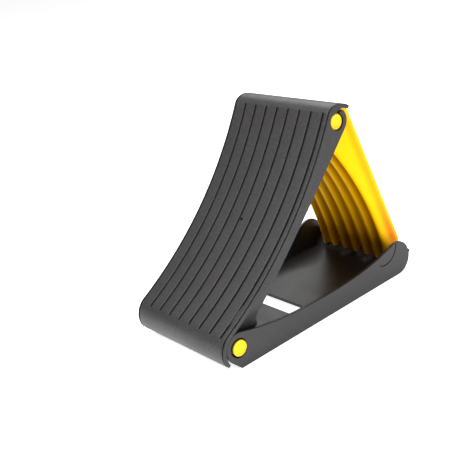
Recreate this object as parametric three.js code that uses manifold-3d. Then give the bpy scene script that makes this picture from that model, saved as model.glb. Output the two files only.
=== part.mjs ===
// Folding wheel chock: a tray base, a curved ramp hinged at the toe of the base, and a strut hinged
// under the ramp's hook whose rounded foot stands in the base's curled heel.
// Millimetres. +X from toe to heel, +Y to the left of the tyre's travel, +Z up, ground at z = 0.
import * as THREE from "three";
import { mergeVertices } from "three/addons/utils/BufferGeometryUtils.js";
import Module from "manifold-3d";

const wasm = await Module();
wasm.setup();

// ---- driving dimensions ------------------------------------------------------------------------
const CENTRE_X = 91; // distance from the front pin to the middle of the chock's length
const FRONT_PIN = { x: -CENTRE_X, z: 16.9 };
const TOP_PIN = { x: 127.1 - CENTRE_X, z: 151.7 };
const HEEL = { x: 178.3 - CENTRE_X, z: 15 };

const SHEET = 3; // thickness of the ramp's tyre face
const FACE = { x: -172.15 - CENTRE_X, z: 321.98, r: 333.1 }; // circle of the concave tyre face
const ROLL_R = 17.2; // outer radius of the toe roll, about the front pin
const BEND_R = 10; // outer radius of the bend at the top of the tyre face
const HOOK_R = 18; // outer radius of the hook over the top pin
const FACE_TOP = -29.2; // degrees about FACE where the tyre face meets the bend
const HOOK_START = 105; // degrees where the bend opens into the hook
const HOOK_END = 51;
const NIB_END = 213; // degrees about the front pin where the toe roll stops

const RAMP_HALF = 55.4; // half width of the tyre face
const FLANGE_OUT = 54; // outer face of the ramp's side flanges
const FLANGE = 3;
const TOE_EAR_OUT = 47.2; // outer face of the ramp's toe ears, inside the base's walls
const BASE_HALF = 53.6;
const WALL = 2.7;
const FLOOR = 3;
const STRUT_HALF = 39.5;
const HUB_OUT = 50.4; // ends of the strut's hubs, between the ramp's ears

const GROOVE_PITCH = 12.8;
const GROOVES = 8;
const GROOVE_SHIFT = -3.4; // the groove set sits a little off the middle of the tyre face
const GROOVE_WIDE = 2.2;
const GROOVE_DEEP = 1.9;
const EDGE_GROOVE_Y = 54.2;
const EDGE_GROOVE_WIDE = 1.1;
const EDGE_GROOVE_DEEP = 1.1;

const EAR_R = 10.7; // ramp's ears round the top pin
const EAR_HOLE_R = 6.75;
const SLIT = { x: 134.3 - CENTRE_X, z: 146.2 }; // circle of the slit between ear and hook
const SLIT_INNER = 12.8;
const SLIT_OUTER = 14.1;
const TOE_EAR_R = 9.6;
const BASE_EAR_R = 12.6;
const HORN_R = 14.7; // rounded heel end of the base's walls
const CURL_R = 15; // outer radius of the floor's curl at the heel
const PANEL = { x: -CENTRE_X - 89, z: -37.9, r: 275.1 }; // circle of the strut's curved front
const PANEL_THICK = 2.2;
const RIDGE_HIGH = 2.8; // height of the strut's ridges over its valleys
const RIDGE_WIDE = 5.6;
const RIDGE_PITCH = 12.8;
const RIDGES = 5;
const HUB_R = 7.7;
const FOOT_R = 11.5;

const ROD_R = 4;
const FRONT_CAP_R = 6.4;
const TOP_CAP_R = 5.9;
const BOSS_R = 6; // black boss round the front rod, under its cap
const BASE_HOLE_R = 7.7;
const ROD_HALF = 52;
const FIT = 0.3; // running gap between a hole and the round in it

// ---- small helpers -----------------------------------------------------------------------------
const rad = (degrees) => (degrees * Math.PI) / 180;
const at = (c, r, degrees) => [c.x + r * Math.cos(rad(degrees)), c.z + r * Math.sin(rad(degrees))];

// Points along an arc, both ends included.
function arc(c, r, from, to, steps) {
  const points = [];
  for (let i = 0; i <= steps; i++) points.push(at(c, r, from + ((to - from) * i) / steps));
  return points;
}

// Points along a cubic curve, without its first point.
function curve(p0, p1, p2, p3, steps) {
  const line = new THREE.CubicBezierCurve(...[p0, p1, p2, p3].map((p) => new THREE.Vector2(...p)));
  return line.getPoints(steps).slice(1).map((p) => [p.x, p.y]);
}

// Angle in degrees of point b as seen from a.
const bearing = (a, b) => (Math.atan2(b.z - a.z, b.x - a.x) * 180) / Math.PI;

function solid(geometry) {
  const bare = geometry.index ? geometry.toNonIndexed() : geometry.clone();
  bare.deleteAttribute("normal");
  bare.deleteAttribute("uv");
  const merged = mergeVertices(bare, 1e-4);
  const vertProperties = merged.attributes.position.array;
  const triVerts = new Uint32Array(merged.index.array);
  return new wasm.Manifold(new wasm.Mesh({ numProp: 3, vertProperties, triVerts }));
}

// A flat plate with an outline of [x, z] points, filling y0 to y1.
function plate(points, y0, y1) {
  const shape = new THREE.Shape(points.map((p) => new THREE.Vector2(...p)));
  const geometry = new THREE.ExtrudeGeometry(shape, { depth: y1 - y0, bevelEnabled: false });
  return solid(geometry.rotateX(Math.PI / 2).translate(0, y1, 0));
}

// A six-sided block from four corners at each end; turned says which way round the corners run.
function block(corners, turned) {
  const sides = [[0, 1, 2, 3], [7, 6, 5, 4]];
  for (let i = 0; i < 4; i++) sides.push([i, i + 4, ((i + 1) % 4) + 4, (i + 1) % 4]);
  const points = [];
  for (const side of sides) {
    const [a, b, c, d] = turned ? side.reverse() : side;
    for (const k of [a, b, c, a, c, d]) points.push(...corners[k]);
  }
  const geometry = new THREE.BufferGeometry();
  geometry.setAttribute("position", new THREE.BufferAttribute(new Float32Array(points), 3));
  return solid(geometry);
}

// The same plate on both sides of the middle plane.
const pair = (points, y0, y1) => plate(points, y0, y1).add(plate(points, -y1, -y0));

const disc = (c, r, y0, y1, steps = 40) => plate(arc(c, r, 0, 360 - 360 / steps, steps - 1), y0, y1);

function mesh(name, made, material) {
  const data = made.getMesh();
  const geometry = new THREE.BufferGeometry();
  geometry.setAttribute("position", new THREE.BufferAttribute(data.vertProperties, 3));
  geometry.setIndex(new THREE.BufferAttribute(data.triVerts, 1));
  geometry.computeVertexNormals();
  const part = new THREE.Mesh(geometry, material.clone());
  part.name = name;
  return part;
}

// ---- ramp --------------------------------------------------------------------------------------
const FACE_TOE = bearing(FACE, FRONT_PIN);
const [bendX, bendZ] = at(FACE, FACE.r + BEND_R, FACE_TOP);
const BEND = { x: bendX, z: bendZ };
const [hookX, hookZ] = at(BEND, BEND_R - HOOK_R, HOOK_START);
const HOOK = { x: hookX, z: hookZ };

// The line of the ramp's sheet at a depth below its tyre face, from the toe nib to the hook's nib.
function sheetLine(depth) {
  return [
    ...arc(FRONT_PIN, ROLL_R - depth, NIB_END, FACE_TOE + 180, 14),
    ...arc(FACE, FACE.r + depth, FACE_TOE, FACE_TOP, 24).slice(1),
    ...arc(BEND, BEND_R - depth, FACE_TOP + 180, HOOK_START, 6).slice(1),
    ...arc(HOOK, HOOK_R - depth, HOOK_START, HOOK_END, 8).slice(1),
  ];
}

const SEAT = SHEET / 2; // depth to which flanges run into the sheet
const FLANGE_LOW = -54.6; // degrees about FACE where the flange ends and the web to the toe ear starts
const EAR_HIGH = -59; // degrees about FACE where the toe ear ends
const FLANGE_BACK = [39 - CENTRE_X, 51]; // rear corners of the flange and of the toe ear
const EAR_BACK = [24.7 - CENTRE_X, 30.4];

// The flange from the sloped web up to the ear, which is open to the slit under the hook.
function flangeOutline() {
  const backStart = bearing({ x: FLANGE_BACK[0], z: FLANGE_BACK[1] }, TOP_PIN) - 90;
  return [
    ...arc(FACE, FACE.r + SEAT, FLANGE_LOW, FACE_TOP, 18),
    ...arc(BEND, BEND_R - SEAT, FACE_TOP + 180, HOOK_START, 4).slice(1),
    ...arc(HOOK, HOOK_R - SEAT, HOOK_START, 60, 6).slice(1),
    ...arc(SLIT, SLIT_OUTER, 77, 118, 6),
    ...arc(TOP_PIN, EAR_HOLE_R, 90, 427, 32),
    ...arc(SLIT, SLIT_INNER, 110, 88, 4),
    ...arc(TOP_PIN, EAR_R, 36, backStart, 10),
    FLANGE_BACK,
  ];
}

const WEB_INSET = 0.15; // the web's faces start just inside the plates it joins
const WEB_LAP = 0.4; // and its ends reach this far into them

// The sloped web that steps each flange in to its toe ear.
function web(side) {
  const corners = [];
  const front = FACE.r + SEAT - WEB_LAP;
  const ends = [
    [at(FACE, front, EAR_HIGH - WEB_LAP), [EAR_BACK[0] - WEB_LAP, EAR_BACK[1] - WEB_LAP], TOE_EAR_OUT],
    [at(FACE, front, FLANGE_LOW + WEB_LAP), [FLANGE_BACK[0] + 1, FLANGE_BACK[1] + 1.5], FLANGE_OUT],
  ];
  for (const [near, far, face] of ends) {
    const outer = face - WEB_INSET;
    const inner = face - FLANGE + WEB_INSET;
    for (const [[x, z], y] of [[near, inner], [near, outer], [far, outer], [far, inner]]) {
      corners.push([x, side * y, z]);
    }
  }
  return block(corners, side < 0);
}

function toeEarOutline() {
  const [x, z] = EAR_BACK;
  return [
    ...arc(FACE, FACE.r + SEAT, FACE_TOE + 0.8, EAR_HIGH + 0.6, 4),
    [x + 1.2, z + 2.2],
    [x, z],
    [x - 0.3, z - 7.4],
    ...arc(FRONT_PIN, TOE_EAR_R, 20, -190, 20),
  ];
}

// Each groove runs from the toe roll to just over the bend.
function groove(y) {
  const line = (depth) => [
    ...arc(FRONT_PIN, ROLL_R - depth, 135, FACE_TOE + 180, 3),
    ...arc(FACE, FACE.r + depth, FACE_TOE, FACE_TOP, 24).slice(1),
    ...arc(BEND, BEND_R - depth, FACE_TOP + 180, 141, 2).slice(1),
  ];
  return plate([...line(-1), ...line(GROOVE_DEEP).reverse()], y - GROOVE_WIDE / 2, y + GROOVE_WIDE / 2);
}

// The groove at each edge of the tyre face follows the sheet round the toe roll and the hook.
function edgeGroove(side) {
  const outline = [...sheetLine(-1), ...sheetLine(EDGE_GROOVE_DEEP).reverse()];
  const y = side * EDGE_GROOVE_Y;
  return plate(outline, y - EDGE_GROOVE_WIDE / 2, y + EDGE_GROOVE_WIDE / 2);
}

function makeRamp() {
  let ramp = plate([...sheetLine(0), ...sheetLine(SHEET).reverse()], -RAMP_HALF, RAMP_HALF);
  ramp = ramp.add(pair(flangeOutline(), FLANGE_OUT - FLANGE, FLANGE_OUT));
  ramp = ramp.add(web(1)).add(web(-1));
  ramp = ramp.add(pair(toeEarOutline(), TOE_EAR_OUT - FLANGE, TOE_EAR_OUT));
  for (const [y0, y1] of [[TOE_EAR_OUT - 1, ROD_HALF], [-ROD_HALF, 1 - TOE_EAR_OUT]]) {
    ramp = ramp.add(disc(FRONT_PIN, BOSS_R, y0, y1));
  }
  ramp = ramp.subtract(disc(FRONT_PIN, ROD_R + FIT, -ROD_HALF - 1, ROD_HALF + 1, 24));
  for (let i = 0; i < GROOVES; i++) {
    ramp = ramp.subtract(groove(GROOVE_SHIFT + (i - (GROOVES - 1) / 2) * GROOVE_PITCH));
  }
  return ramp.subtract(edgeGroove(1)).subtract(edgeGroove(-1));
}

// ---- base --------------------------------------------------------------------------------------
const CORNER = [-0.95 - CENTRE_X, 0];

function wallOutline() {
  const earTop = at(FRONT_PIN, BASE_EAR_R, 72);
  const low = [95 - CENTRE_X, 18.7];
  const horn = at(HEEL, HORN_R, 118);
  return [
    CORNER,
    ...arc(FRONT_PIN, BASE_EAR_R, 225, 72, 18),
    ...curve(earTop, [34 - CENTRE_X, 20.5], [60 - CENTRE_X, 18.7], low, 8),
    ...curve(low, [125 - CENTRE_X, 18.7], [145 - CENTRE_X, 20.5], horn, 8),
    ...arc(HEEL, HORN_R, 112, -84, 20),
    [HEEL.x, 0],
  ];
}

function floorOutline() {
  const lip = { x: HEEL.x + CURL_R, z: HEEL.z + 1.2 };
  return [
    CORNER,
    ...arc(HEEL, CURL_R, -90, 0, 12),
    [lip.x + 1.9, lip.z - 0.6],
    [lip.x + 1.6, lip.z + 0.7],
    [lip.x - FLOOR, lip.z],
    ...arc(HEEL, CURL_R - FLOOR, 0, -90, 12),
    [CORNER[0], FLOOR],
  ];
}

const SLOT = { x0: 73.7 - CENTRE_X, x1: 89.1 - CENTRE_X, half: 38 };

// Curved line sunk in the outside of each wall, round the foot's seat.
function seatLine() {
  const c = { x: 163 - CENTRE_X, z: 30.3 };
  const outline = [...arc(c, 15.6, -118, -6, 14), ...arc(c, 14.4, -6, -118, 14)];
  return pair(outline, BASE_HALF - 1, BASE_HALF + 1);
}

function makeBase() {
  const slot = [
    [SLOT.x0, -1],
    [SLOT.x1, -1],
    [SLOT.x1, FLOOR + 1],
    [SLOT.x0, FLOOR + 1],
  ];
  const hole = { x: FRONT_PIN.x - 0.8, z: FRONT_PIN.z + 0.4 };
  let base = plate(floorOutline(), -BASE_HALF, BASE_HALF);
  base = base.add(pair(wallOutline(), BASE_HALF - WALL, BASE_HALF));
  base = base.subtract(plate(slot, -SLOT.half, SLOT.half));
  base = base.subtract(disc(hole, BASE_HOLE_R, -BASE_HALF - 1, BASE_HALF + 1));
  return base.subtract(seatLine());
}

// ---- strut -------------------------------------------------------------------------------------
const REAR_TOP = [154.9 - CENTRE_X, 152.5]; // ends of the strut's straight rear edge
const REAR_LOW = [199.2 - CENTRE_X, 21.5];
const PANEL_TOP = 38; // degrees about PANEL
const PANEL_LOW = 9.6;

// Side flange: hub round the rod, straight rear edge over the lip, rounded foot, curved front edge.
function strutFlangeOutline() {
  return [
    [147 - CENTRE_X, 155.4],
    REAR_TOP,
    REAR_LOW,
    [195.6 - CENTRE_X, 18.2],
    ...arc(HEEL, FOOT_R, 14, -60, 12),
    ...arc(PANEL, PANEL.r, PANEL_LOW, PANEL_TOP, 20),
    ...arc(TOP_PIN, HUB_R, 200, 80, 12),
  ];
}

function strutPanelOutline(front, back) {
  const frontLine = arc(PANEL, PANEL.r + front, PANEL_LOW, PANEL_TOP, 24);
  return [...frontLine, ...arc(PANEL, PANEL.r + back, PANEL_TOP, PANEL_LOW, 24)];
}

function makeStrut() {
  const inner = STRUT_HALF - FLANGE;
  const valley = strutPanelOutline(RIDGE_HIGH, RIDGE_HIGH + PANEL_THICK);
  const ridge = strutPanelOutline(0, RIDGE_HIGH + PANEL_THICK / 2);
  let strut = pair(strutFlangeOutline(), inner, STRUT_HALF);
  strut = strut.add(plate(valley, -inner - 1, inner + 1));
  for (let i = 0; i < RIDGES; i++) {
    const y = (i - (RIDGES - 1) / 2) * RIDGE_PITCH;
    strut = strut.add(plate(ridge, y - RIDGE_WIDE / 2, y + RIDGE_WIDE / 2));
  }
  for (const [y0, y1] of [[inner, HUB_OUT], [-HUB_OUT, -inner]]) {
    strut = strut.add(disc(TOP_PIN, HUB_R, y0, y1));
  }
  return strut.subtract(disc(TOP_PIN, ROD_R + FIT, -HUB_OUT - 1, HUB_OUT + 1, 24));
}

// ---- hinge hardware ----------------------------------------------------------------------------
const makeRod = (c) => disc(c, ROD_R, -ROD_HALF, ROD_HALF, 32);

// A round cap closing the rod's end, in the hole of the outer ear. Its skirt, if any, sleeves the rod.
function makeCap(c, side, r, face, depth) {
  const bore = ROD_HALF + FIT;
  const [y0, y1] = side > 0 ? [face - depth, face] : [-face, depth - face];
  const [b0, b1] = side > 0 ? [0, bore] : [-bore, 0];
  return disc(c, r, y0, y1).subtract(disc(c, ROD_R + FIT, b0, b1, 24));
}

// ---- assembly ----------------------------------------------------------------------------------
const black = new THREE.MeshStandardMaterial({ color: 0x2b2a2b, roughness: 0.55 });
const yellow = new THREE.MeshStandardMaterial({ color: 0xf7c400, roughness: 0.4 });
const steel = new THREE.MeshStandardMaterial({ color: 0xa8adb2, roughness: 0.3, metalness: 1 });

const chock = new THREE.Group();
chock.add(mesh("base_tray", makeBase(), black));
chock.add(mesh("ramp", makeRamp(), black));
chock.add(mesh("strut", makeStrut(), yellow));
chock.add(mesh("front_hinge_rod", makeRod(FRONT_PIN), steel));
chock.add(mesh("top_hinge_rod", makeRod(TOP_PIN), steel));
for (const [side, label] of [[1, "left"], [-1, "right"]]) {
  chock.add(mesh("front_rod_cap_" + label, makeCap(FRONT_PIN, side, FRONT_CAP_R, 53.8, 1.4), yellow));
  chock.add(mesh("top_rod_cap_" + label, makeCap(TOP_PIN, side, TOP_CAP_R, 53.2, 2.5), yellow));
}

export default chock;
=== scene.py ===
"""Folding wheel chock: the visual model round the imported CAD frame. +X runs from toe to heel, +Z up.

Shapes are worked out in millimetres and turned into metres when their meshes are made.
"""

import math
from bisect import bisect_right

import bmesh
import bpy
from mathutils import Matrix, Vector


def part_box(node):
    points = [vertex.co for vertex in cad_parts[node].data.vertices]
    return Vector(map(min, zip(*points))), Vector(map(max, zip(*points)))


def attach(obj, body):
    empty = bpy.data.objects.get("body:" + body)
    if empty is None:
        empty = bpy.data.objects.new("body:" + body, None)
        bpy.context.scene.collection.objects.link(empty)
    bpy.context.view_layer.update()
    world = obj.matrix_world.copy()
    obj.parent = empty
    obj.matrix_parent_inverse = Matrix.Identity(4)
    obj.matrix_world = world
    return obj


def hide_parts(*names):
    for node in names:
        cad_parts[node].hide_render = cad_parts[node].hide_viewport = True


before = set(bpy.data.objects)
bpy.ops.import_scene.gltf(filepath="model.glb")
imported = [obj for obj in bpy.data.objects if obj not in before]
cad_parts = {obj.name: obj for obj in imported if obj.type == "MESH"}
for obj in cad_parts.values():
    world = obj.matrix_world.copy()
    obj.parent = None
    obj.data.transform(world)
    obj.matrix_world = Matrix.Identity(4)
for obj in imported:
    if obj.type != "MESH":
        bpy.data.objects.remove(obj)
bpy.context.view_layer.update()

MM = 0.001

# ---- places taken from the frame, in millimetres ------------------------------------------------


def middle(node):
    low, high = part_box(node)
    return ((low.x + high.x) / 2 / MM, (low.z + high.z) / 2 / MM)


def half_width(node):
    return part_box(node)[1].y / MM


FRONT = middle("front_hinge_rod")
TOP = middle("top_hinge_rod")
RAMP_HALF = half_width("ramp")
BASE_HALF = half_width("base_tray")
HUB_OUT = half_width("strut")
ROD_HALF = half_width("front_hinge_rod")
HEEL_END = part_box("base_tray")[1].x / MM

# ---- shape dimensions, in millimetres -----------------------------------------------------------
SHEET = 3.0
FACE_R = 333.1  # concave tyre face, circle centre placed from the front pin
FACE = (FRONT[0] - 172.15, FRONT[1] + 305.08)
ROLL_R = 17.2
BEND_R = 10.0
HOOK_R = 18.0
FACE_TOP = -29.2  # degrees about FACE where the tyre face ends
HOOK_START = 105.0
HOOK_END = 51.0
NIB_END = 213.0
GATE_ANGLE = -45.2  # degrees about FACE
GATE_R = 1.25

GROOVES = 8
GROOVE_PITCH = 12.8
GROOVE_SHIFT = -3.4
GROOVE_WIDE = 2.0
GROOVE_DEEP = 2.0
GROOVE_FADE = 1.2  # length over which a groove runs out at each end
GROOVE_PAST_BEND = 1.7  # how far the grooves run past the tyre face, over the bend and into the toe roll
GROOVE_PAST_FACE = 4.7
EDGE_GROOVE_IN = 1.5  # from the sheet's side to the middle of its edge groove
EDGE_GROOVE_WIDE = 1.5
EDGE_GROOVE_DEEP = 1.3
TIP = 0.7  # rounding of a sheet's end

FLANGE = 3.0
FLANGE_OUT = RAMP_HALF - 1.4
TOE_EAR_OUT = 47.2
EAR_R = 10.7
EAR_HOLE_R = 6.75
SLIT = (FRONT[0] + 134.3, FRONT[1] + 129.3)  # circle of the slit between ear and hook
SLIT_INNER = 12.8
SLIT_OUTER = 14.1
TOE_EAR_R = 9.6
BOSS_R = 6.0
BASE_HOLE_R = 7.7
ROD_R = 4.0
FIT = 0.3

WALL = 2.7
BASE_EAR_R = 12.6
CURL_R = 15.0
HORN_R = 14.7
HEEL = (HEEL_END - CURL_R - 1.9, CURL_R)
CORNER_X = FRONT[0] - 0.95

STRUT_HALF = 39.5
PANEL_R = 275.1  # the strut's curved front, over its ridges
PANEL = (FRONT[0] - 89.0, FRONT[1] - 54.8)
PANEL_LOW = 9.5
PANEL_TOP = 38.0
PANEL_THICK = 2.2
RIDGE_PITCH = 12.8
VALLEY_DEEP = 2.7
WAVE_POWER = 0.8  # below 1 the valleys are wider than the ridges
NOTCH_DEGREES = 1.2  # depth of the notches in the lower edge, about PANEL
NOTCH_HALF = 3.0
FOOT_R = 11.5
HUB_R = 7.7


# ---- outlines -----------------------------------------------------------------------------------
def at(centre, radius, degrees):
    a = math.radians(degrees)
    return (centre[0] + radius * math.cos(a), centre[1] + radius * math.sin(a))


def arc(centre, radius, start, stop, step=1.0):
    """Points along an arc about step millimetres apart, both ends included."""
    count = max(2, round(abs(math.radians(stop - start)) * radius / step))
    return [at(centre, radius, start + (stop - start) * i / count) for i in range(count + 1)]


def bearing(a, b):
    return math.degrees(math.atan2(b[1] - a[1], b[0] - a[0]))


def cubic(p0, p1, p2, p3, count=16):
    """Points along a cubic curve, without its first point."""
    points = []
    for i in range(1, count + 1):
        t = i / count
        weights = ((1 - t) ** 3, 3 * t * (1 - t) ** 2, 3 * t * t * (1 - t), t**3)
        points.append(tuple(sum(w * p[k] for w, p in zip(weights, (p0, p1, p2, p3))) for k in (0, 1)))
    return points


def circle(centre, radius, count=72):
    return [at(centre, radius, 360 * i / count) for i in range(count)]


def anticlockwise(loop):
    area = sum(a[0] * b[1] - b[0] * a[1] for a, b in zip(loop, loop[1:] + loop[:1]))
    return loop if area > 0 else loop[::-1]


def round_corners(loop, radius, sharp=25.0):
    """The closed loop with each corner sharper than so many degrees turned into a small arc."""
    out = []
    for i, p in enumerate(loop):
        before, after = Vector(loop[i - 1]), Vector(loop[(i + 1) % len(loop)])
        corner = Vector(p)
        to_before, to_after = before - corner, after - corner
        turn = 180 - math.degrees(to_before.angle(to_after))
        if turn < sharp:
            out.append(p)
            continue
        shorter = min(to_before.length, to_after.length)
        back = min(radius * math.tan(math.radians(turn / 2)), shorter * 0.45)
        first = corner + to_before.normalized() * back
        last = corner + to_after.normalized() * back
        for k in range(5):
            t = k / 4
            q = first * (1 - t) ** 2 + corner * 2 * t * (1 - t) + last * t * t
            out.append((q.x, q.y))
    return out


def inset(loop, distance):
    """A closed anticlockwise loop moved inwards, mitred at its corners."""
    out = []
    for i, p in enumerate(loop):
        here = Vector(p)
        a = (here - Vector(loop[i - 1])).normalized()
        b = (Vector(loop[(i + 1) % len(loop)]) - here).normalized()
        normals = Vector((-a.y, a.x)) + Vector((-b.y, b.x))
        q = here + normals * (2 * distance / max(normals.length_squared, 1.2))
        out.append((q.x, q.y))
    return out


# ---- meshes -------------------------------------------------------------------------------------
def add_object(name, bm):
    """A closed mesh in metres from a bmesh in millimetres, with its faces turned outwards."""
    bmesh.ops.remove_doubles(bm, verts=bm.verts, dist=1e-4)
    bmesh.ops.recalc_face_normals(bm, faces=bm.faces)
    bmesh.ops.scale(bm, vec=(MM, MM, MM), verts=bm.verts)
    mesh = bpy.data.meshes.new(name)
    bm.to_mesh(mesh)
    bm.free()
    obj = bpy.data.objects.new(name, mesh)
    bpy.context.scene.collection.objects.link(obj)
    return obj


def bridge(bm, ring_a, ring_b):
    for i in range(len(ring_a)):
        bm.faces.new((ring_a[i - 1], ring_a[i], ring_b[i], ring_b[i - 1]))


def plate(name, outline, y0, y1, soft=0.5, holes=(), corner=0.6, steps=3):
    """A flat plate from y0 to y1 with rounded rims, its outline and holes given as (x, z) loops."""
    bm = bmesh.new()
    profile = []
    for k in range(steps + 1):
        a = math.radians(90 * k / steps)
        profile.append((soft * (1 - math.sin(a)), y0 + soft * (1 - math.cos(a))))
    profile += [(d, y0 + y1 - y) for d, y in reversed(profile)]
    ends = ([], [])
    loops = [(round_corners(anticlockwise(outline), corner), 1)]
    loops += [(anticlockwise(hole), -1) for hole in holes]
    for loop, sign in loops:
        rings = []
        for distance, y in profile:
            ring = inset(loop, sign * distance)
            rings.append([bm.verts.new((x, y, z)) for x, z in ring])
        for a, b in zip(rings, rings[1:]):
            bridge(bm, a, b)
        ends[0].append(rings[0])
        ends[1].append(rings[-1])
    for rings in ends:
        edges = [bm.edges.get((ring[i - 1], ring[i])) for ring in rings for i in range(len(ring))]
        bmesh.ops.triangle_fill(bm, edges=edges, use_beauty=True)
    return add_object(name, bm)


class Line:
    """An open line of (x, z) points that knows the point and the left-hand normal at any length."""

    def __init__(self, points):
        apart = [True] + [math.dist(a, b) > 1e-4 for a, b in zip(points, points[1:])]
        self.points = [Vector(p) for p, keep in zip(points, apart) if keep]
        steps = [b - a for a, b in zip(self.points, self.points[1:])]
        self.lengths = [0.0]
        for step in steps:
            self.lengths.append(self.lengths[-1] + step.length)
        normals = [Vector((-s.y, s.x)).normalized() for s in steps]
        self.normals = [normals[0]]
        self.normals += [(a + b).normalized() for a, b in zip(normals, normals[1:])]
        self.normals.append(normals[-1])
        self.length = self.lengths[-1]

    def at(self, s):
        i = min(max(bisect_right(self.lengths, s) - 1, 0), len(self.points) - 2)
        t = (s - self.lengths[i]) / (self.lengths[i + 1] - self.lengths[i])
        normal = self.normals[i].lerp(self.normals[i + 1], t)
        return self.points[i].lerp(self.points[i + 1], t), normal.normalized()


def stations(length, step, round_end, extra=()):
    """Lengths along a sheet: even steps, finer ones at both rounded ends and at the extra places."""
    ends = [round_end * (1 - math.cos(math.radians(a))) for a in (12, 30, 50, 70, 90)]
    count = round((length - 2 * round_end) / step)
    even = [round_end + (length - 2 * round_end) * i / count for i in range(count + 1)]
    even = [s for s in even if all(abs(s - e) > step / 2 for e in extra)]
    return sorted(set(ends + even + [length - e for e in ends] + list(extra)))


def sheet(name, line, section, thick, lengths, taper=lambda s: 1.0):
    """Sweeps a closed section of (y, depth) points along a line and rounds the corners of its ends.
    The section is a function of the length along the line."""
    bm = bmesh.new()
    rings = []
    for s in lengths:
        point, normal = line.at(s)
        end = min(s, line.length - s, TIP) / TIP
        share = (1 - 2 * TIP / thick * (1 - math.sqrt(1 - (1 - end) ** 2))) * taper(s)
        ring = []
        for y, depth in section(s):
            p = point + normal * (thick / 2 + (depth - thick / 2) * share)
            ring.append(bm.verts.new((p.x, y, p.y)))
        rings.append(ring)
    for a, b in zip(rings, rings[1:]):
        bridge(bm, a, b)
    bm.faces.new(rings[0])
    bm.faces.new(rings[-1])
    return add_object(name, bm)


def block(name, corners):
    """A six-sided block from its four lower and four upper corners, each in order round the block."""
    bm = bmesh.new()
    verts = [bm.verts.new(c) for c in corners]
    bridge(bm, verts[:4], verts[4:])
    bm.faces.new(verts[:4])
    bm.faces.new(verts[4:])
    return add_object(name, bm)


def lathe(name, profile, centre, y, side, count=72):
    """Turns a closed profile of (radius, depth) points about the Y axis; depth runs inwards from y."""
    bm = bmesh.new()
    rings = []
    for radius, depth in profile:
        if radius < 1e-6:
            rings.append([bm.verts.new((centre[0], side * (y - depth), centre[1]))])
            continue
        loop = circle(centre, radius, count)
        rings.append([bm.verts.new((x, side * (y - depth), z)) for x, z in loop])
    for a, b in zip(rings, rings[1:] + rings[:1]):
        if len(a) == len(b) == 1:
            continue
        if len(a) == 1 or len(b) == 1:
            tip, ring = (a[0], b) if len(a) == 1 else (b[0], a)
            for i in range(count):
                bm.faces.new((ring[i - 1], ring[i], tip))
        else:
            bridge(bm, a, b)
    return add_object(name, bm)


def combine(target, other, how="UNION"):
    """Joins other to target, or cuts it away, and removes other."""
    modifier = target.modifiers.new("Combine", "BOOLEAN")
    modifier.operation = how
    modifier.solver = "MANIFOLD"
    modifier.object = other
    graph = bpy.context.evaluated_depsgraph_get()
    graph.update()
    mesh = bpy.data.meshes.new_from_object(target.evaluated_get(graph))
    target.modifiers.clear()
    target.data = mesh
    bpy.data.objects.remove(other)
    return target


def smooth(obj, angle=32.0):
    mesh = obj.data
    bm = bmesh.new()
    bm.from_mesh(mesh)
    bmesh.ops.remove_doubles(bm, verts=bm.verts, dist=2e-6)
    bmesh.ops.dissolve_degenerate(bm, edges=bm.edges, dist=1e-6)
    bm.to_mesh(mesh)
    bm.free()
    mesh.shade_smooth()
    mesh.set_sharp_from_angle(angle=math.radians(angle))
    weighted = obj.modifiers.new("Weighted", "WEIGHTED_NORMAL")
    weighted.keep_sharp = True
    return obj


# ---- ramp ---------------------------------------------------------------------------------------
FACE_TOE = bearing(FACE, FRONT)
BEND = at(FACE, FACE_R + BEND_R, FACE_TOP)
HOOK = at(BEND, BEND_R - HOOK_R, HOOK_START)
FLANGE_BACK = (FRONT[0] + 39.0, 51.0)
EAR_BACK = (FRONT[0] + 24.7, 30.4)
FLANGE_LOW = -54.6  # degrees about FACE where the flange ends and the web to the toe ear starts
EAR_HIGH = -59.0
FLANGE_BOW = 0.9  # how far the flange's rear edge swells between its two ends
SEAT = SHEET / 2


def ramp_line():
    """The ramp's outer surface from the toe nib, up the tyre face and over the hook."""
    points = arc(FRONT, ROLL_R, NIB_END, FACE_TOE + 180, 0.4)
    points += arc(FACE, FACE_R, FACE_TOE, FACE_TOP, 1.0)[1:]
    points += arc(BEND, BEND_R, FACE_TOP + 180, HOOK_START, 0.4)[1:]
    points += arc(HOOK, HOOK_R, HOOK_START, HOOK_END, 0.4)[1:]
    return Line([(x, z) for x, z in points][::-1])


GROOVE_SHAPE = ((-0.72, 0.0), (-0.52, 0.1), (-0.42, 0.55), (-0.27, 0.95), (0.0, 1.0))
GROOVE_SHAPE += tuple((-u, d) for u, d in reversed(GROOVE_SHAPE[:-1]))


def sheet_section(half, thick, corner, grooves):
    """A section loop of (y, depth all along the sheet, further depth of the grooves that fade out)."""
    turns = [math.radians(a) for a in (90, 60, 30, 0)]
    loop = [(-half + corner * (1 - math.sin(a)), corner * (1 - math.cos(a)), 0.0) for a in turns]
    for y, wide, deep, fades in grooves:
        for u, d in GROOVE_SHAPE:
            loop.append((y + u * wide, 0.0 if fades else d * deep, d * deep if fades else 0.0))
    right = [(-y, d, 0.0) for y, d, _ in reversed(loop[:4])]
    loop += right
    loop += [(y, thick - d, 0.0) for y, d, _ in reversed(right)]
    loop += [(-y, thick - d, 0.0) for y, d, _ in right]
    return loop


def ramp_grooves():
    edge = RAMP_HALF - EDGE_GROOVE_IN
    grooves = [(-edge, EDGE_GROOVE_WIDE, EDGE_GROOVE_DEEP, False)]
    for i in range(GROOVES):
        y = GROOVE_SHIFT + (i - (GROOVES - 1) / 2) * GROOVE_PITCH
        grooves.append((y, GROOVE_WIDE, GROOVE_DEEP, True))
    grooves.append((edge, EDGE_GROOVE_WIDE, EDGE_GROOVE_DEEP, False))
    return grooves


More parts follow.
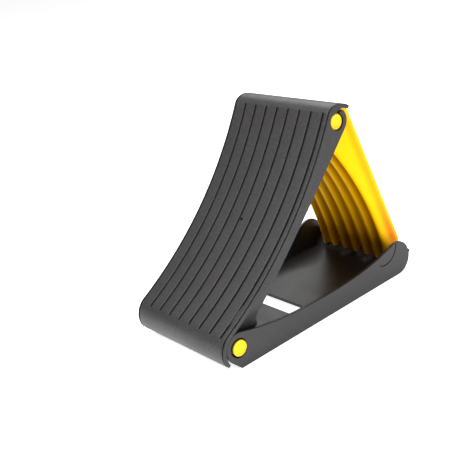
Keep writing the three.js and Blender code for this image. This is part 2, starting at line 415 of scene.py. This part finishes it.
def ramp_sheet():
    line = ramp_line()
    hook = math.radians(HOOK_START - HOOK_END) * HOOK_R
    bend = math.radians(FACE_TOP + 180 - HOOK_START) * BEND_R
    face = math.radians(FACE_TOP - FACE_TOE) * FACE_R
    first = hook + bend - GROOVE_PAST_BEND
    last = hook + bend + face + GROOVE_PAST_FACE
    loop = sheet_section(RAMP_HALF, SHEET, 0.35, ramp_grooves())

    def section(s):
        fade = min(max((s - first) / GROOVE_FADE, 0), max((last - s) / GROOVE_FADE, 0), 1)
        fade = math.sin(fade * math.pi / 2)
        return [(y, depth + run * fade) for y, depth, run in loop]

    steps = [GROOVE_FADE * i / 3 for i in range(4)]
    marks = [first + d for d in steps] + [last - d for d in steps]
    return sheet("ramp_shell", line, section, SHEET, stations(line.length, 1.2, TIP, marks))


def flange_outline():
    """The side flange up to the ear, which is open to the slit under the hook."""
    back = bearing(FLANGE_BACK, TOP) - 90
    points = arc(FACE, FACE_R + SEAT, FLANGE_LOW, FACE_TOP, 2.0)
    points += arc(BEND, BEND_R - SEAT, FACE_TOP + 180, HOOK_START, 1.0)[1:]
    points += arc(HOOK, HOOK_R - SEAT, HOOK_START, 60, 1.0)[1:]
    points += arc(SLIT, SLIT_OUTER, 77, 118, 0.7)
    points += arc(TOP, EAR_HOLE_R, 90, 415, 0.7)
    points += arc(SLIT, SLIT_INNER, 104, 88, 0.7)
    points += arc(TOP, EAR_R, 36, back, 0.7)
    bow = Vector(at((0, 0), FLANGE_BOW, back))
    top, low = Vector(points[-1]), Vector(FLANGE_BACK)
    for i in range(1, 12):
        p = top.lerp(low, i / 12) + bow * math.sin(math.pi * i / 12)
        points.append((p.x, p.y))
    return points + [FLANGE_BACK]


def toe_ear_outline():
    x, z = EAR_BACK
    points = arc(FACE, FACE_R + SEAT, FACE_TOE + 0.8, EAR_HIGH + 0.6, 2.0)
    points += [(x + 1.2, z + 2.2), (x, z), (x - 0.3, z - 7.4)]
    return points + arc(FRONT, TOE_EAR_R, 20, -190, 0.7)


def web(side):
    """The sloped web that steps a side flange in to its toe ear."""
    lap = 0.4
    low = (at(FACE, FACE_R + SEAT - lap, EAR_HIGH - lap), (EAR_BACK[0] - lap, EAR_BACK[1] - lap))
    high = (at(FACE, FACE_R + SEAT - lap, FLANGE_LOW + lap), (FLANGE_BACK[0] + 1, FLANGE_BACK[1] + 1.5))
    corners = []
    for (a, b), face in ((low, TOE_EAR_OUT), (high, FLANGE_OUT)):
        inner, outer = face - FLANGE + 0.1, face - 0.1
        corners += [(a[0], side * inner, a[1]), (a[0], side * outer, a[1])]
        corners += [(b[0], side * outer, b[1]), (b[0], side * inner, b[1])]
    return block("web", corners)


def toe_boss(side):
    """The black boss round the front rod that stands out through the base's hole."""
    length = ROD_HALF - TOE_EAR_OUT + 1
    bore = ROD_R + FIT
    profile = [(bore, 0), (BOSS_R - 0.4, 0), (BOSS_R, 0.4), (BOSS_R, length), (bore, length)]
    return lathe("boss", profile, FRONT, ROD_HALF, side)


def gate_mark():
    """The small dimple that the mould's gate leaves in the tyre face."""
    bm = bmesh.new()
    rings = []
    for depth, radius in ((-0.6, GATE_R + 0.2), (1.9, GATE_R - 0.2)):
        ring = []
        for u, v in circle((0, 0), radius, 20):
            x, z = at(FACE, FACE_R + depth, GATE_ANGLE + math.degrees(u / FACE_R))
            ring.append(bm.verts.new((x, v, z)))
        rings.append(ring)
    bridge(bm, *rings)
    for ring in rings:
        bm.faces.new(ring)
    return add_object("gate", bm)


def sides(inner, outer, side):
    return (inner, outer) if side > 0 else (-outer, -inner)


def build_ramp():
    shell = ramp_sheet()
    rod_hole = circle(FRONT, ROD_R + FIT, 48)
    for side in (-1, 1):
        y0, y1 = sides(FLANGE_OUT - FLANGE, FLANGE_OUT, side)
        combine(shell, plate("flange", flange_outline(), y0, y1, 0.35, corner=0.4))
        y0, y1 = sides(TOE_EAR_OUT - FLANGE, TOE_EAR_OUT, side)
        combine(shell, plate("ear", toe_ear_outline(), y0, y1, 0.5, [rod_hole]))
        combine(shell, web(side))
        combine(shell, toe_boss(side))
    combine(shell, gate_mark(), "DIFFERENCE")
    return smooth(shell)


# ---- base ---------------------------------------------------------------------------------------
SLOT_START = FRONT[0] + 73.7
SLOT_END = FRONT[0] + 89.1
SLOT_HALF = 38.0
SEAT_LINE = (FRONT[0] + 163, 30.3)  # centre of the arc round the strut foot's seat
SEAT_LINE_R = 15.0
SEAT_LINE_WIDE = 1.1
SEAT_LINE_DEEP = 1.0


def wall_outline():
    ear_top = at(FRONT, BASE_EAR_R, 72)
    low = (FRONT[0] + 95, 18.7)
    horn = at(HEEL, HORN_R, 118)
    points = [(CORNER_X, 0.0)] + arc(FRONT, BASE_EAR_R, 225, 72, 0.7)
    points += cubic(ear_top, (FRONT[0] + 34, 20.5), (FRONT[0] + 60, 18.7), low)
    points += cubic(low, (FRONT[0] + 125, 18.7), (FRONT[0] + 145, 20.5), horn)
    return points + arc(HEEL, HORN_R, 112, -84, 0.7) + [(HEEL[0], 0.0)]


def floor_sheet():
    points = [(CORNER_X + (HEEL[0] - CORNER_X) * i / 60, 0.0) for i in range(60)]
    points += arc(HEEL, CURL_R, -90, -9, 0.5)
    tip = (HEEL_END, HEEL[1] + 0.6)
    start = points[-1]
    points += cubic(start, (start[0] + 0.1, start[1] + 0.9), (tip[0] - 1.2, tip[1] - 0.5), tip, 8)
    line = Line(points)
    loop = [(y, d) for y, d, _ in sheet_section(BASE_HALF, SHEET, 0.5, [])]
    lengths = stations(line.length, 2.0, TIP)

    def taper(s):
        return 0.55 + 0.45 * min((line.length - s) / 4.0, 1)

    return sheet("base_shell", line, lambda s: loop, SHEET, lengths, taper)


def slot_cutter():
    """An upright bar with rounded corners, right through the floor."""
    near = [(SLOT_START, -SLOT_HALF), (SLOT_END, -SLOT_HALF)]
    far = [(SLOT_END, SLOT_HALF), (SLOT_START, SLOT_HALF)]
    outline = round_corners(near + far, 1.5)
    bm = bmesh.new()
    rings = [[bm.verts.new((x, y, z)) for x, y in outline] for z in (-1.0, SHEET + 1.0)]
    bridge(bm, *rings)
    for ring in rings:
        bm.faces.new(ring)
    return add_object("slot", bm)


def seat_line_cutter(side):
    """The shallow arc pressed into each wall round the strut foot's seat."""
    outer = arc(SEAT_LINE, SEAT_LINE_R + SEAT_LINE_WIDE / 2, -118, -6, 0.7)
    inner = arc(SEAT_LINE, SEAT_LINE_R - SEAT_LINE_WIDE / 2, -6, -118, 0.7)
    outline = outer + inner
    y0, y1 = sides(BASE_HALF - SEAT_LINE_DEEP, BASE_HALF + 1, side)
    return plate("seat_line", outline, y0, y1, 0.1, corner=0.1)


def build_base():
    shell = floor_sheet()
    hole = circle((FRONT[0] - 0.8, FRONT[1] + 0.4), BASE_HOLE_R)
    for side in (-1, 1):
        y0, y1 = sides(BASE_HALF - WALL, BASE_HALF, side)
        combine(shell, plate("wall", wall_outline(), y0, y1, 0.5, [hole]))
        combine(shell, seat_line_cutter(side), "DIFFERENCE")
    combine(shell, slot_cutter(), "DIFFERENCE")
    return smooth(shell)


# ---- strut --------------------------------------------------------------------------------------
REAR_TOP = (FRONT[0] + 154.9, FRONT[1] + 135.6)
REAR_LOW = (FRONT[0] + 199.2, FRONT[1] + 4.6)
REAR_ROLL = 8.0  # width over which the flange's rear edge rolls inwards
REAR_DROP = 1.1
FRONT_ROLL = 2.2


def strut_flange_outline():
    """Hub, straight rear edge over the base's lip, rounded foot and curved front edge."""
    points = [(FRONT[0] + 147, FRONT[1] + 138.5), REAR_TOP, REAR_LOW, (REAR_LOW[0] - 1.6, REAR_LOW[1] - 1.5)]
    points += arc(HEEL, FOOT_R, 12, -60, 0.7)
    points += arc(PANEL, PANEL_R, PANEL_LOW, PANEL_TOP, 2.0)
    points += arc(TOP, HUB_R, 200, 80, 0.7)
    return round_corners(anticlockwise(points), 1.5)


def span(outline, origin, along, across, q):
    """Where a line across the outline at distance q from origin enters and leaves it."""
    hits = []
    for a, b in zip(outline, outline[1:] + outline[:1]):
        qa = (Vector(a) - origin).dot(along) - q
        qb = (Vector(b) - origin).dot(along) - q
        if (qa < 0) != (qb < 0):
            t = qa / (qa - qb)
            hits.append((Vector(a).lerp(Vector(b), t) - origin).dot(across))
    return min(hits), max(hits)


def flange_section(width):
    """Loop of (distance from the front edge, distance in from the outer face) for one station."""
    rear = min(REAR_ROLL, width * 0.4)
    front = min(FRONT_ROLL, width * 0.25)
    loop = []
    for k in range(7):
        a = math.radians(15 * k)
        loop.append((front * (1 - math.sin(a)), (FLANGE - 0.4) * (1 - math.cos(a))))
    loop = loop[::-1]
    for k in range(7):
        a = math.radians(15 * k)
        loop.append((width - rear * (1 - math.sin(a)), REAR_DROP * (1 - math.cos(a))))
    loop += [(width - 0.2, FLANGE - 0.1), (width - 0.5, FLANGE), (0.5, FLANGE), (0.2, FLANGE - 0.1)]
    return loop


def strut_flange(side):
    outline = strut_flange_outline()
    origin = Vector(HEEL)
    along = (Vector(REAR_TOP) - Vector(REAR_LOW)).normalized()
    across = Vector((along.y, -along.x))
    heights = [(Vector(p) - origin).dot(along) for p in outline]
    low, high = min(heights), max(heights)
    count = 110
    bm = bmesh.new()
    rings = []
    for i in range(count + 1):
        t = (1 - math.cos(math.pi * (0.02 + 0.96 * i / count))) / 2
        q = low + (high - low) * (0.35 * t + 0.65 * (0.002 + 0.996 * i / count))
        start, stop = span(outline, origin, along, across, q)
        ring = []
        for u, depth in flange_section(stop - start):
            p = origin + along * q + across * (start + u)
            ring.append(bm.verts.new((p.x, side * (STRUT_HALF - depth), p.y)))
        rings.append(ring)
    for a, b in zip(rings, rings[1:]):
        bridge(bm, a, b)
    bm.faces.new(rings[0])
    bm.faces.new(rings[-1])
    return add_object("strut_flange", bm)


def valley(y):
    """How far the corrugated front lies behind the panel's circle at a distance across."""
    phase = math.cos(2 * math.pi * y / RIDGE_PITCH)
    return VALLEY_DEEP * (0.5 - 0.5 * phase) ** WAVE_POWER


def lower_edge(y):
    """Degrees by which the panel's lower edge is notched, in every second valley."""
    turns = (y / RIDGE_PITCH - 1.5) / 2
    apart = abs(turns - round(turns)) * 2 * RIDGE_PITCH
    return NOTCH_DEGREES * max(0.0, 1 - apart / NOTCH_HALF)


def strut_panel():
    half = STRUT_HALF - FLANGE + 1.0
    columns = 200
    ys = [-half + 2 * half * j / columns for j in range(columns + 1)]
    count = 90
    bm = bmesh.new()
    grids = []
    for back in (0.0, PANEL_THICK):
        grid = []
        for i in range(count + 1):
            row = []
            for y in ys:
                low = PANEL_LOW + lower_edge(y)
                angle = low + (PANEL_TOP - low) * i / count
                x, z = at(PANEL, PANEL_R + valley(y) + back, angle)
                row.append(bm.verts.new((x, y, z)))
            grid.append(row)
        grids.append(grid)
    front, rear = grids
    rings = [a + b[::-1] for a, b in zip(front, rear)]
    for a, b in zip(rings, rings[1:]):
        bridge(bm, a, b)
    for a, b in ((front[0], rear[0]), (front[-1], rear[-1])):
        for j in range(len(a) - 1):
            bm.faces.new((a[j], a[j + 1], b[j + 1], b[j]))
    return add_object("strut_shell", bm)


def strut_hub(side):
    length = HUB_OUT - STRUT_HALF + FLANGE - 0.5
    profile = [(0, 0), (HUB_R - 0.6, 0), (HUB_R - 0.17, 0.17), (HUB_R, 0.6), (HUB_R, length), (0, length)]
    return lathe("hub", profile, TOP, HUB_OUT, side)


def build_strut():
    shell = strut_panel()
    for side in (-1, 1):
        combine(shell, strut_flange(side))
        combine(shell, strut_hub(side))
    drill = lathe("drill", [(0, 0), (ROD_R + FIT, 0), (ROD_R + FIT, 120), (0, 120)], TOP, 60, 1, 48)
    combine(shell, drill, "DIFFERENCE")
    return smooth(shell, 40)


# ---- hinge hardware -----------------------------------------------------------------------------
def build_rod(name, centre):
    profile = [(0, 0), (ROD_R - 0.6, 0), (ROD_R - 0.15, 0.2), (ROD_R, 0.7)]
    profile += [(r, 2 * ROD_HALF - d) for r, d in reversed(profile)]
    return smooth(lathe(name, profile, centre, ROD_HALF, 1, 64))


def build_cap(name, node, centre):
    """A round cap: dished face with a low rim, rounded shoulder, and a skirt if it is deep enough."""
    low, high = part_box(node)
    side = 1 if low.y > 0 else -1
    outer = max(abs(low.y), abs(high.y)) / MM
    depth = (high.y - low.y) / MM
    radius = (high.x - low.x) / 2 / MM
    bore = ROD_R + FIT
    ceiling = outer - ROD_HALF - FIT
    profile = [(0, 0.5), (3.0, 0.5), (radius - 1.7, 0.5), (radius - 1.4, 0.35), (radius - 1.2, 0.08)]
    profile += [(radius - 1.0, 0.0), (radius - 0.45, 0.0), (radius - 0.13, 0.13), (radius, 0.45)]
    profile += [(radius, depth - 0.2), (radius - 0.2, depth)]
    if depth > ceiling:
        profile += [(bore + 0.3, depth), (bore, depth - 0.3), (bore, ceiling), (0, ceiling)]
    else:
        profile += [(0, depth)]
    return smooth(lathe(name, profile, centre, outer, side))


# ---- materials ----------------------------------------------------------------------------------
def material(name):
    made = bpy.data.materials.new(name)
    made.use_nodes = True
    return made, made.node_tree.nodes, made.node_tree.links, made.node_tree.nodes["Principled BSDF"]


def noise(nodes, links, scale, detail=3.0, rough=0.5, stretch=(1, 1, 1)):
    """Noise in the piece's own coordinates, scale per metre."""
    place = nodes.new("ShaderNodeTexCoord")
    mapping = nodes.new("ShaderNodeMapping")
    mapping.inputs["Scale"].default_value = stretch
    texture = nodes.new("ShaderNodeTexNoise")
    texture.inputs["Scale"].default_value = scale
    texture.inputs["Detail"].default_value = detail
    texture.inputs["Roughness"].default_value = rough
    links.new(place.outputs["Object"], mapping.inputs["Vector"])
    links.new(mapping.outputs["Vector"], texture.inputs["Vector"])
    return texture.outputs["Fac"]


def ramp_between(nodes, links, fac, low, high, start=0.3, stop=0.7):
    """A colour or grey that goes from low to high as fac goes from start to stop."""
    node = nodes.new("ShaderNodeValToRGB")
    for element, place, value in zip(node.color_ramp.elements, (start, stop), (low, high)):
        element.position = place
        element.color = value if len(value) == 4 else (*value, 1)
    links.new(fac, node.inputs["Fac"])
    return node.outputs["Color"]


def grey(value):
    return (value, value, value)


def bump(nodes, links, shader, height, distance, strength):
    node = nodes.new("ShaderNodeBump")
    node.inputs["Strength"].default_value = strength
    node.inputs["Distance"].default_value = distance
    links.new(height, node.inputs["Height"])
    links.new(node.outputs["Normal"], shader.inputs["Normal"])


def plastic(name, dark, light, rough, grain, depth, worn_and_lit, specular):
    """Moulded plastic: mottled colour, uneven gloss, a fine grain, and edges lightened by rubbing and by a
    painted highlight.
    """
    made, nodes, links, shader = material(name)
    mottle = noise(nodes, links, grain * 0.6, 4.0, 0.6)
    colour = ramp_between(nodes, links, mottle, dark, light)
    links.new(colour, shader.inputs["Base Color"])
    wide = noise(nodes, links, 60, 4.0, 0.6)
    gloss = ramp_between(nodes, links, wide, grey(rough - 0.05), grey(rough + 0.05))
    links.new(gloss, shader.inputs["Roughness"])
    shader.inputs["Specular IOR Level"].default_value = specular
    bump(nodes, links, shader, noise(nodes, links, grain, 3.0, 0.55), depth, 0.6)
    edge_wear_and_highlight(nodes, links, shader, worn_and_lit)
    return made, nodes, links, shader


def edge_wear_and_highlight(nodes, links, shader, colour):
    """Lightens the base colour towards another one, unevenly, within half a millimetre of each edge: rubbing
    wear together with a painted edge highlight.
    """
    rounded = nodes.new("ShaderNodeBevel")
    rounded.samples = 4
    rounded.inputs["Radius"].default_value = 0.5 * MM
    flat = nodes.new("ShaderNodeNewGeometry")
    dot = nodes.new("ShaderNodeVectorMath")
    dot.operation = "DOT_PRODUCT"
    links.new(rounded.outputs["Normal"], dot.inputs[0])
    links.new(flat.outputs["Normal"], dot.inputs[1])
    edge = ramp_between(nodes, links, dot.outputs["Value"], grey(1.0), grey(0.0), 0.8, 0.99)
    patchy = ramp_between(nodes, links, noise(nodes, links, 250, 3.0), grey(0.1), grey(0.7))
    recolour(nodes, links, shader, formula(nodes, links, "MULTIPLY", edge, patchy), colour, "MIX")


def across(nodes, links, direction, start, stop, clamped=True):
    """0 to 1 as the piece's own coordinates go from start to stop along a direction, in metres."""
    place = nodes.new("ShaderNodeTexCoord")
    dot = nodes.new("ShaderNodeVectorMath")
    dot.operation = "DOT_PRODUCT"
    dot.inputs[1].default_value = direction
    span = nodes.new("ShaderNodeMapRange")
    span.clamp = clamped
    span.inputs["From Min"].default_value = start
    span.inputs["From Max"].default_value = stop
    links.new(place.outputs["Object"], dot.inputs[0])
    links.new(dot.outputs["Value"], span.inputs["Value"])
    return span.outputs["Result"]


def formula(nodes, links, operation, a, b=None):
    """One maths node; a and b are sockets or plain numbers."""
    node = nodes.new("ShaderNodeMath")
    node.operation = operation
    for socket, value in zip(node.inputs, (a, b)):
        if value is None:
            continue
        if isinstance(value, (int, float)):
            socket.default_value = value
        else:
            links.new(value, socket)
    return node.outputs["Value"]


def recolour(nodes, links, shader, amount, colour, blend):
    """Blends a colour into the base colour, as far as amount says."""
    mix = nodes.new("ShaderNodeMix")
    mix.data_type = "RGBA"
    mix.blend_type = blend
    source = shader.inputs["Base Color"].links[0].from_socket
    links.new(amount, mix.inputs[0])
    links.new(source, mix.inputs[6])
    mix.inputs[7].default_value = (*colour, 1)
    links.new(mix.outputs[2], shader.inputs["Base Color"])


WORN_AND_LIT = (0.07, 0.068, 0.068)  # black plastic where its edges are rubbed and lit by a painted highlight


def tint(nodes, links, shader, amount, colour):
    recolour(nodes, links, shader, amount, colour, "MULTIPLY")


def ramp_plastic():
    """Black plastic, with painted shade that darkens the faces turned along Y."""
    made, nodes, links, shader = plastic(
        "ramp_plastic", (0.006, 0.0056, 0.0058), (0.034, 0.0317, 0.0322), 0.5, 1400, 0.0003, WORN_AND_LIT, 0.42
    )
    place = nodes.new("ShaderNodeTexCoord")
    dot = nodes.new("ShaderNodeVectorMath")
    dot.operation = "DOT_PRODUCT"
    dot.inputs[1].default_value = (0, 1, 0)
    links.new(place.outputs["Normal"], dot.inputs[0])
    side_face_shade = formula(nodes, links, "POWER", formula(nodes, links, "ABSOLUTE", dot.outputs["Value"]), 6.0)
    # painted shade: faces turned along Y are darkened
    tint(nodes, links, shader, side_face_shade, grey(0.6))
    return made


VALLEY_SHADE_SHIFT = 1.2  # millimetres from the middle of a valley to its darkest line


def strut_plastic():
    """Yellow plastic with painted shade: browner between the flanges along each valley, fading out on the
    crests;
    an orange strip of painted shade inside each flange's rear rim, redder towards the foot; all of it darker
    and more orange towards the foot."""
    made, nodes, links, shader = plastic(
        "strut_plastic", (0.93, 0.53, 0.001), (0.96, 0.57, 0.002), 0.42, 900, 0.00002, (0.97, 0.7, 0.02), 0.06
    )
    shader.inputs["Specular Tint"].default_value = (1.0, 0.75, 0.1, 1)
    outside, inside = (STRUT_HALF - 0.6) * MM, (STRUT_HALF - FLANGE) * MM
    left = across(nodes, links, (0, 1, 0), outside, inside)
    right = across(nodes, links, (0, -1, 0), outside, inside)
    between = formula(nodes, links, "MULTIPLY", left, right)
    # painted shade: the panel between the flanges is browned along each valley, darkest just off its middle
    dark = VALLEY_SHADE_SHIFT * MM
    radian = RIDGE_PITCH * MM / (2 * math.pi)
    turn = across(nodes, links, (0, 1, 0), dark, dark + radian, clamped=False)
    crest = formula(nodes, links, "COSINE", turn)
    low = formula(nodes, links, "SUBTRACT", 0.5, formula(nodes, links, "MULTIPLY", crest, 0.5))
    tint(nodes, links, shader, formula(nodes, links, "MULTIPLY", between, low), (0.38, 0.25, 0.5))
    # painted shade: an orange strip inside each flange's rear rim
    rear = Vector(REAR_TOP) - Vector(REAR_LOW)
    outward = Vector((rear.y, -rear.x)).normalized()
    edge = Vector(REAR_TOP).dot(outward)
    direction = (outward.x, 0, outward.y)
    rise = across(nodes, links, direction, (edge - 12.0) * MM, (edge - 7.5) * MM)
    fall = across(nodes, links, direction, (edge - 2.0) * MM, (edge - 5.0) * MM)
    rear_rim_shade = formula(nodes, links, "MULTIPLY", rise, fall)
    tint(nodes, links, shader, rear_rim_shade, (0.98, 0.72, 0.4))
    # painted shade: darker and more orange towards the foot, redder still in the rear-rim strip
    foot = across(nodes, links, (0, 0, -1), -0.07, -0.02)
    tint(nodes, links, shader, formula(nodes, links, "MULTIPLY", rear_rim_shade, foot), (0.85, 0.5, 0.3))
    tint(nodes, links, shader, foot, (1.0, 0.84, 0.5))
    return made


ramp_black = ramp_plastic()
base_black, *_ = plastic(
    "base_plastic", (0.014, 0.0136, 0.014), (0.023, 0.0222, 0.023), 0.36, 1600, 0.00004, WORN_AND_LIT, 0.32
)
strut_yellow = strut_plastic()
cap_yellow, *_ = plastic(
    "cap_plastic", (0.95, 0.55, 0.008), (0.97, 0.61, 0.012), 0.4, 1200, 0.00002, (0.97, 0.72, 0.05), 0.15
)


def steel():
    made, nodes, links, shader = material("rod_steel")
    shader.inputs["Metallic"].default_value = 1.0
    drawn = noise(nodes, links, 300, 3.0, 0.5, (1, 0.02, 1))
    links.new(ramp_between(nodes, links, drawn, grey(0.5), grey(0.68)), shader.inputs["Base Color"])
    links.new(ramp_between(nodes, links, drawn, grey(0.22), grey(0.36)), shader.inputs["Roughness"])
    return made


rod_steel = steel()


# ---- assembly -----------------------------------------------------------------------------------
def place(obj, body, slot, made, *nodes):
    obj.data.materials.clear()
    obj.data.materials.append(made)
    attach(obj, body)
    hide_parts(*nodes)


place(build_ramp(), "ramp", "ramp", ramp_black, "ramp")
place(build_base(), "base", "base", base_black, "base_tray")
place(build_strut(), "strut", "strut", strut_yellow, "strut")
for label, centre in (("front", FRONT), ("top", TOP)):
    rod = f"{label}_hinge_rod"
    place(build_rod(f"{label}_rod", centre), "ramp", "rod", rod_steel, rod)
    for hand in ("left", "right"):
        node = f"{label}_rod_cap_{hand}"
        place(build_cap(f"{label}_cap_{hand}", node, centre), "ramp", "cap", cap_yellow, node)


# ---- studio -------------------------------------------------------------------------------------
WORLD = 0.08
FLOOR_GLOW = 0.85
LIGHTS = (  # name, place, target, size, power
    ("key_above", (-0.25, -0.45, 1.1), (0, 0, 0.05), 0.9, 4.0),
    ("side_near", (0.3, -1.15, 0.35), (0.03, 0, 0.07), 0.8, 6.5),
    ("toe_high", (-0.6, 0.1, 1.25), (0, 0, 0.08), 0.8, 28.0),
    ("heel_back", (0.65, 0.6, 0.9), (0.05, 0, 0.08), 0.8, 8.2),
)


def build_floor():
    bm = bmesh.new()
    bmesh.ops.create_grid(bm, x_segments=1, y_segments=1, size=4000)
    bmesh.ops.translate(bm, vec=(0, 0, -0.05), verts=bm.verts)
    floor = add_object("studio_floor", bm)
    made, nodes, links, shader = material("floor_pale")
    tone = noise(nodes, links, 3.0, 2.0)
    links.new(ramp_between(nodes, links, tone, grey(0.84), grey(0.88)), shader.inputs["Base Color"])
    shader.inputs["Roughness"].default_value = 0.9
    shader.inputs["Emission Color"].default_value = (1, 1, 1, 1)
    shader.inputs["Emission Strength"].default_value = FLOOR_GLOW
    floor.data.materials.append(made)


def area_light(name, place_m, target_m, size, power):
    light = bpy.data.lights.new(name, "AREA")
    light.shape = "DISK"
    light.size = size
    light.energy = power
    obj = bpy.data.objects.new(name, light)
    bpy.context.scene.collection.objects.link(obj)
    obj.location = place_m
    obj.rotation_euler = (Vector(target_m) - Vector(place_m)).to_track_quat("-Z", "Y").to_euler()


def build_world(strength):
    world = bpy.data.worlds.new("studio")
    world.use_nodes = True
    background = world.node_tree.nodes["Background"]
    background.inputs["Color"].default_value = (1, 1, 1, 1)
    background.inputs["Strength"].default_value = strength
    bpy.context.scene.world = world


def build_camera():
    """The viewing place and angle, given from the chock's own frame."""
    data = bpy.data.cameras.new("camera")
    data.sensor_width = 36.0
    data.lens = 69.98
    data.clip_start = 0.01
    data.shift_x = -0.00178
    data.shift_y = 0.00088
    camera = bpy.data.objects.new("camera", data)
    bpy.context.scene.collection.objects.link(camera)
    camera.location = Vector((-0.4179, -0.5134, 0.3402))
    azimuth, pitch, roll = math.atan2(0.588, 0.809), math.radians(21.79), math.radians(-10.37)
    heading = Vector((math.sin(azimuth), math.cos(azimuth), 0)) * math.cos(pitch)
    heading.z = -math.sin(pitch)
    turn = heading.to_track_quat("-Z", "Y").to_matrix()
    camera.rotation_euler = (turn @ Matrix.Rotation(roll, 3, "Z")).to_euler()
    bpy.context.scene.camera = camera


build_floor()
build_world(WORLD)
for light in LIGHTS:
    area_light(*light)
build_camera()
bpy.context.scene.view_settings.view_transform = "Standard"
